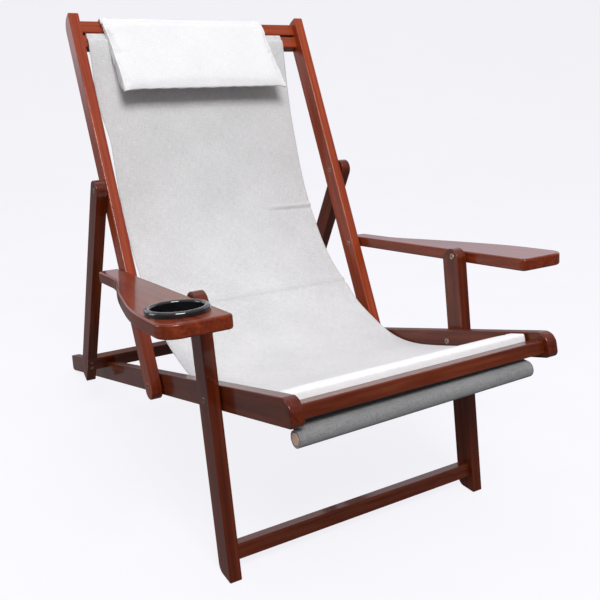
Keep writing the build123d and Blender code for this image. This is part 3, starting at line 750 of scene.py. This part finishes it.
def corner_curl(x, travel):
    """The hem's front corners pucker where the sheet turns over the sling bar."""
    right_hand = 0.0165 * bell(x, -0.2260, 0.0150) * bell(travel, 0.935, 0.018)
    left_hand = 0.0030 * bell(x, 0.2200, 0.0180) * bell(travel, 0.965, 0.020)
    return right_hand + left_hand


def fold_line(x, travel, place, slope, depth, start, end):
    """A pressed crease: a narrow valley beside a narrow ridge, fading out at both ends."""
    here = travel - place - slope * x
    reach = clamp((x - start) / 0.05) * clamp((end - x) / 0.05)
    return reach * depth * (bell(here, 0.0035, 0.0034) - 1.25 * bell(here, -0.0035, 0.0034))


def ripple(x, along, travel, share):
    """How far the hanging sheet stands off its middle surface: sag, creases and soft waves."""
    centre_share = 2 * share - 1
    sag = -0.0035 * (1 - centre_share ** 2)
    broad = 0.0034 * noise.noise(Vector((x * 5.0, along * 4.0, 1.3)))
    fine = 0.0007 * noise.noise(Vector((x * 22.0, along * 9.0, 7.1)))
    folds = fold_line(x, travel, 0.520, 0.0, 0.0030, -0.30, 0.30)
    folds += fold_line(x, travel, 0.336, 0.02, 0.0026, 0.10, 0.30)
    dent = -0.0060 * bell(x, -0.06, 0.075) * bell(travel, 0.745, 0.050)
    edge = abs(centre_share) ** 8
    flutter = 0.0022 * edge * math.sin(along * 21.0 + (0.0 if share < 0.5 else 1.7))
    return sag + broad + fine + folds + dent + flutter


# ---------------------------------------------------------------- head pillow

PILLOW_TOP = 0.0085
PILLOW_BOTTOM = 0.1880
PILLOW_RIGHT = -0.2210
PILLOW_LEFT = 0.1735
PILLOW_SKEW = 0.080
PILLOW_STITCH = 0.0034
PILLOW_THREAD = 0.0004
PILLOW_PRESSURE = 4.0
PILLOW_CAP = 0.005
PILLOW_HELD = 0.022
PILLOW_SIDEWAYS = 0.3
PILLOW_ROOM = 0.0165
SWELL_FRAMES = 20


def pillow_front(down):
    return 0.0085 - 0.0235 * max(down / PILLOW_BOTTOM, 0.0) ** 0.9


def pillow_outline():
    """The pillow's section as (down, rearward), closed, thin at the bar and thick at its lower edge."""
    front = []
    for part in range(25):
        down = PILLOW_TOP + (PILLOW_BOTTOM - 0.0035 - PILLOW_TOP) * part / 24
        front.append((down, pillow_front(down)))
    low = pillow_front(PILLOW_BOTTOM)
    turn = [(0.0, 0.0016), (0.0, 0.0060), (-0.0030, 0.0110), (-0.0090, 0.0170), (-0.0160, 0.0220)]
    turn = [(PILLOW_BOTTOM + down, low + rearward) for down, rearward in turn]
    back = []
    for part in range(25):
        down = PILLOW_BOTTOM - 0.025 - (PILLOW_BOTTOM - 0.025 - PILLOW_TOP) * part / 24
        back.append((down, 0.0110 + 0.0030 * (1 - down / PILLOW_BOTTOM)))
    return front + turn + back


def pillow_point(down, rearward, x):
    return back_point(down, rearward) + ACROSS * (x + PILLOW_SKEW * down)


def pillow_body(fabric):
    """The stuffed part: a wedge of fabric in front of the bars, swelled by cloth pressure."""
    section = pillow_outline()
    count = len(section)
    columns = 60
    vertices = []
    for column in range(columns + 1):
        x = PILLOW_RIGHT + (PILLOW_LEFT - PILLOW_RIGHT) * column / columns
        vertices += [pillow_point(down, rearward, x) for down, rearward in section]
    faces = []
    for column in range(columns):
        for index in range(count):
            a = column * count + index
            b = column * count + (index + 1) % count
            faces.append((a, a + count, b + count, b))
    faces.append(tuple(range(count)))
    faces.append(tuple(columns * count + index for index in reversed(range(count))))
    body = mesh_object("head_pillow_cushion", vertices, faces)
    remesh = body.modifiers.new("remesh", "REMESH")
    remesh.mode = "VOXEL"
    remesh.voxel_size = 0.0045
    remesh.use_smooth_shade = True
    apply_modifiers(body)
    swell(body)
    for vertex in body.data.vertices:
        vertex.co += crumple(vertex.co, vertex.normal)
    smooth = body.modifiers.new("subdivide", "SUBSURF")
    smooth.levels = smooth.render_levels = 1
    apply_modifiers(body)
    body.data.polygons.foreach_set("use_smooth", [True] * len(body.data.polygons))
    unwrap(body)
    body.data.materials.clear()
    body.data.materials.append(fabric)
    return body


def swell(body):
    """Runs Blender's cloth with pressure and applies a limited share of its movement.

    Every point stays within PILLOW_CAP of its start, sideways movement is cut to PILLOW_SIDEWAYS,
    and no point is pushed rearward past PILLOW_ROOM, because the bars are there.
    """
    scene = bpy.context.scene
    rest = [vertex.co.copy() for vertex in body.data.vertices]
    held = body.vertex_groups.new(name="held")
    for index, co in enumerate(rest):
        down = (BACK_TOP - co).dot(BACK_UP)
        if down < PILLOW_HELD:
            held.add([index], 1.0, "REPLACE")
    cloth = body.modifiers.new("cloth", "CLOTH")
    cloth.settings.quality = 6
    cloth.settings.mass = 0.25
    cloth.settings.tension_stiffness = 28.0
    cloth.settings.compression_stiffness = 28.0
    cloth.settings.shear_stiffness = 12.0
    cloth.settings.bending_stiffness = 0.6
    cloth.settings.use_pressure = True
    cloth.settings.uniform_pressure_force = PILLOW_PRESSURE
    cloth.settings.vertex_group_mass = "held"
    cloth.settings.effector_weights.gravity = 0.0
    cloth.collision_settings.use_collision = False
    scene.frame_start = 1
    scene.frame_end = SWELL_FRAMES
    cloth.point_cache.frame_start = 1
    cloth.point_cache.frame_end = SWELL_FRAMES
    for step in range(1, SWELL_FRAMES + 1):
        scene.frame_set(step)
    apply_modifiers(body)
    for vertex, start in zip(body.data.vertices, rest):
        move = vertex.co - start
        move.x *= PILLOW_SIDEWAYS
        if move.length > PILLOW_CAP:
            move *= PILLOW_CAP / move.length
        rear = move.dot(BACK_REAR)
        here = (start - BACK_TOP).dot(BACK_REAR)
        if rear > 0 and here > 0.0:
            move -= BACK_REAR * max(rear - max(PILLOW_ROOM - here, 0.0), 0.0)
        vertex.co = start + move
    body.vertex_groups.clear()
    scene.frame_set(1)
    body.data.update()


def crumple(co, normal):
    """Small wrinkles, tension lines from the bar, and the two lower corners drawn out to points."""
    down = (BACK_TOP - co).dot(BACK_UP)
    x = co.x - PILLOW_SKEW * down
    wrinkle = 0.0011 * noise.noise(Vector((x * 26.0, down * 17.0, 2.2)))
    wrinkle += 0.0016 * noise.noise(Vector((x * 8.0, down * 9.0, 5.2)))
    pull = 0.0007 * math.sin(x * 190.0 + 3 * noise.noise(co * 9.0)) * bell(down, PILLOW_BOTTOM, 0.022)
    move = normal * (wrinkle + pull) * clamp(down / 0.03)
    for end, outward in ((PILLOW_RIGHT, -1.0), (PILLOW_LEFT, 1.0)):
        near = bell(x, end, 0.013) * bell(down, PILLOW_BOTTOM, 0.016)
        move += (ACROSS * outward * 0.0045 - BACK_UP * 0.0045) * near
    return move


def unwrap(obj):
    """Box-projected UVs in metres, so that the weave keeps its scale."""
    layer = obj.data.uv_layers.new(name="weave")
    for polygon in obj.data.polygons:
        lean = (abs(polygon.normal.x), abs(polygon.normal.dot(BACK_UP)), abs(polygon.normal.dot(BACK_REAR)))
        for loop in polygon.loop_indices:
            co = obj.data.vertices[obj.data.loops[loop].vertex_index].co - BACK_TOP
            if lean[0] == max(lean):
                layer.data[loop].uv = (co.dot(BACK_REAR), co.dot(BACK_UP))
            elif lean[1] == max(lean):
                layer.data[loop].uv = (co.x, co.dot(BACK_REAR))
            else:
                layer.data[loop].uv = (co.x, co.dot(BACK_UP))


def on_surface(tree, point, lift):
    place, normal, _, _ = tree.find_nearest(point)
    return place + normal * lift


def pillow_trim(body, fabric, sewing):
    """Corded seams round both ends of the cushion, with a row of stitches beside each."""
    tree = BVHTree.FromObject(body, bpy.context.evaluated_depsgraph_get())
    trim = []
    section = pillow_outline()
    for name, end, inward in (("right", PILLOW_RIGHT, 1.0), ("left", PILLOW_LEFT, -1.0)):
        cord = []
        sewn = []
        for down, rearward in section:
            reach = bell(down, PILLOW_BOTTOM, 0.018) * 0.004
            middle = pillow_point(down, rearward, end + inward * (0.0012 - reach))
            cord.append(on_surface(tree, middle, -0.0002))
            inner = pillow_point(down, rearward, end + inward * 0.0085)
            sewn.append(on_surface(tree, inner, 0.0003))
        cord = resample(smooth_curve(cord, 3), 0.0025)
        trim.append(piping(f"head_pillow_{name}_piping", cord, 0.0017, fabric))
        front = resample(smooth_curve(sewn[:26], 3), 0.002)
        trim.append(stitches(f"head_pillow_{name}_stitching", front, PILLOW_STITCH, PILLOW_THREAD, sewing))
    return trim


def pillow_flap(fabric, sewing):
    """The cover's flap: over the upper bar, behind the top roll, with a hem along its end."""
    line = rounded_path(
        [
            (back_point(0.0200, 0.0095), 0.0),
            (back_point(0.0058, 0.0095), 0.004),
            (back_point(0.0058, 0.0475), 0.004),
            (back_point(0.0340, 0.0775), 0.012),
            (back_point(0.1060, 0.0745), 0.0),
        ],
        0.003,
    )
    rows = resample(line, 0.003)
    columns = 90
    hem_rows = 8
    vertices = []
    uvs = []
    travelled = 0.0
    hem_line = []
    for index, middle in enumerate(rows):
        before = rows[max(index - 1, 0)]
        normal = row_normal(rows, index)
        travelled += (middle - before).length
        hang = clamp((travelled - 0.075) / 0.05)
        hem = 0.0006 if index > len(rows) - hem_rows else 0.0
        for column in range(columns + 1):
            x = PILLOW_RIGHT + (PILLOW_LEFT - PILLOW_RIGHT) * column / columns
            wave = hang * 0.0022 * math.sin(x * 31.0 + 1.0)
            wave += 0.0006 * noise.noise(Vector((x * 30, travelled * 20, 3)))
            vertices.append(middle + ACROSS * x - normal * (wave * hang + hem))
            uvs.append((x, travelled))
            if index == len(rows) - hem_rows + 1:
                hem_line.append(middle + ACROSS * x - normal * (wave * hang + hem + 0.0014))
    flap = mesh_object("head_pillow_flap", vertices, quads(len(rows) - 1, columns), uvs)
    flap.data.materials.append(fabric)
    thick = flap.modifiers.new("thickness", "SOLIDIFY")
    thick.thickness = 0.0022
    thick.offset = 0.0
    apply_modifiers(flap)
    sewn = stitches("head_pillow_flap_stitching", hem_line[2:-2], PILLOW_STITCH, PILLOW_THREAD, sewing)
    return [flap, sewn]


def build_soft():
    """The sling and the pillow with their sewing; the pillow's pieces move with the back frame."""
    shade = (0.93, 0.94, 0.96)
    bright = (0.96, 0.96, 0.98)
    weave = {"pitch": 0.0016, "relief": 0.55}
    canvas = woven("canvas", (0.68, 0.68, 0.675), (0.42, 0.42, 0.42), tint=shade, **weave)
    # A lighter copy of the canvas for the strip over the front bar: a painted highlight where that strip
    # faces the light.
    lit_strip = woven("canvas_lit_strip_painted_highlight", (0.80, 0.80, 0.80), (0.58, 0.58, 0.58), tint=bright, **weave)
    # A darker copy of the canvas for the front roll: painted shade below the front bar.
    shaded_roll = woven("canvas_roll_painted_shade", (0.25, 0.25, 0.25), (0.10, 0.10, 0.10), tint=shade, **weave)
    white = (0.97, 0.97, 0.99)
    cotton = woven("pillow_fabric", (0.76, 0.76, 0.76), (0.61, 0.61, 0.61), 0.0012, 0.40, white)
    grey_thread = thread("canvas_thread", (0.55, 0.55, 0.56))
    white_thread = thread("pillow_thread", (0.85, 0.85, 0.86))
    sling, sewn = make_sling((canvas, lit_strip, shaded_roll), grey_thread)
    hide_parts("back_sling", "seat_sling")
    for piece in [sling] + sewn:
        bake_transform(piece)
    cushion = pillow_body(cotton)
    trim = pillow_trim(cushion, cotton, white_thread) + pillow_flap(cotton, white_thread)
    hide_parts("head_pillow")
    for piece in [cushion] + trim:
        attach(piece, "back_frame")


def make_stage():
    """A floor that curves up into a backdrop.

    It glows: evenly pale where the camera sees it, and dark low down to pale high up for all other rays,
    so the background is pale while shadows on it stay faint.
    """
    size = 14.0
    profile = [side(-size, 0.0), side(4.0, 0.0)]
    for part in range(1, 17):
        angle = math.pi / 2 * part / 16
        profile.append(side(4.0 + 3.0 * math.sin(angle), 3.0 - 3.0 * math.cos(angle)))
    profile.append(side(7.0, 10.0))
    vertices = []
    faces = []
    turn = Matrix.Rotation(math.radians(-30), 4, "Z")
    for point in profile:
        vertices += [turn @ Vector((-size, point.y, point.z)), turn @ Vector((size, point.y, point.z))]
    for index in range(len(profile) - 1):
        a = index * 2
        faces.append((a, a + 1, a + 3, a + 2))
    floor = mesh_object("studio_floor", vertices, faces)
    n = Nodes("floor_paint")
    place = n.add("ShaderNodeTexCoord").outputs["Object"]
    tone = n.noise(place, 3.0)
    colour = n.ramp(tone, (0.3, (0.095, 0.095, 0.098)), (0.7, (0.105, 0.105, 0.108)))
    seen = n.add("ShaderNodeLightPath").outputs["Is Camera Ray"]
    height = n.add("ShaderNodeSeparateXYZ")
    n.link(place, height.inputs[0])
    rise = n.math("MULTIPLY", height.outputs["Z"], 0.5)
    high = n.ramp(rise, (0.05, (0.08, 0.08, 0.08)), (0.6, (0.9, 0.87, 0.95)))
    glow = n.mix(seen, high, (0.830, 0.822, 0.862))
    n.set(Base_Color=colour, Roughness=0.9, Specular_IOR_Level=0.0)
    floor.data.materials.append(n.set(Emission_Color=glow, Emission_Strength=1.0))


def area_light(name, place, target, size, power, colour=(1.0, 1.0, 1.0)):
    data = bpy.data.lights.new(name, "AREA")
    data.shape = "RECTANGLE"
    data.size, data.size_y = size
    data.energy = power
    data.color = colour
    lamp = bpy.data.objects.new(name, data)
    lamp.location = place
    lamp.rotation_euler = (Vector(target) - Vector(place)).to_track_quat("-Z", "Y").to_euler()
    bpy.context.scene.collection.objects.link(lamp)
    return lamp


def make_lights():
    """A dim grey sky that the camera sees as pale, a key light from the front, and two fills."""
    world = bpy.data.worlds.new("studio")
    world.use_nodes = True
    tree = world.node_tree
    background = tree.nodes["Background"]
    place = tree.nodes.new("ShaderNodeTexCoord")
    split = tree.nodes.new("ShaderNodeSeparateXYZ")
    sky = tree.nodes.new("ShaderNodeValToRGB")
    sky.color_ramp.elements[0].position = 0.0
    sky.color_ramp.elements[0].color = (0.24, 0.23, 0.25, 1.0)
    sky.color_ramp.elements[1].position = 0.85
    sky.color_ramp.elements[1].color = (0.95, 0.92, 1.0, 1.0)
    tree.links.new(place.outputs["Generated"], split.inputs[0])
    tree.links.new(split.outputs["Z"], sky.inputs["Fac"])
    seen = tree.nodes.new("ShaderNodeLightPath")
    shown = tree.nodes.new("ShaderNodeMix")
    shown.data_type = "RGBA"
    shown.inputs[7].default_value = (1.27, 1.26, 1.32, 1.0)
    tree.links.new(seen.outputs["Is Camera Ray"], shown.inputs[0])
    tree.links.new(sky.outputs["Color"], shown.inputs[6])
    tree.links.new(shown.outputs[2], background.inputs["Color"])
    background.inputs["Strength"].default_value = 0.70
    bpy.context.scene.world = world
    bpy.context.scene.view_settings.view_transform = "Standard"
    area_light("key", (-0.8, -2.9, 3.4), (0, 0, 0.4), (1.9, 1.4), 165.0)
    area_light("top", (0.0, 0.9, 3.9), (0, 0, 0.3), (2.4, 2.0), 14.0)
    area_light("side", (-3.2, 1.3, 1.3), (0, 0, 0.5), (1.6, 2.4), 34.0)


CAMERA_PLACE = (-0.7273, -1.4942, 0.8394)


def make_camera():
    """The photograph's viewpoint, given as place, azimuth, elevation and roll."""
    azimuth = math.radians(-30.13)
    elevation = math.radians(16.83)
    roll = math.radians(-0.98)
    back = Vector((
        math.sin(azimuth) * math.cos(elevation),
        -math.cos(azimuth) * math.cos(elevation),
        math.sin(elevation),
    ))
    right = (-back).cross(Vector((0, 0, 1))).normalized()
    up = right.cross(-back)
    x_axis = right * math.cos(roll) + up * math.sin(roll)
    y_axis = up * math.cos(roll) - right * math.sin(roll)
    data = bpy.data.cameras.new("camera")
    data.lens = 44.9
    data.sensor_width = 36.0
    camera = bpy.data.objects.new("camera", data)
    camera.matrix_world = Matrix((
        (x_axis.x, y_axis.x, back.x, CAMERA_PLACE[0]),
        (x_axis.y, y_axis.y, back.y, CAMERA_PLACE[1]),
        (x_axis.z, y_axis.z, back.z, CAMERA_PLACE[2]),
        (0.0, 0.0, 0.0, 1.0),
    ))
    bpy.context.scene.collection.objects.link(camera)
    bpy.context.scene.camera = camera


dress_frame()
build_soft()
make_stage()
make_lights()
make_camera()
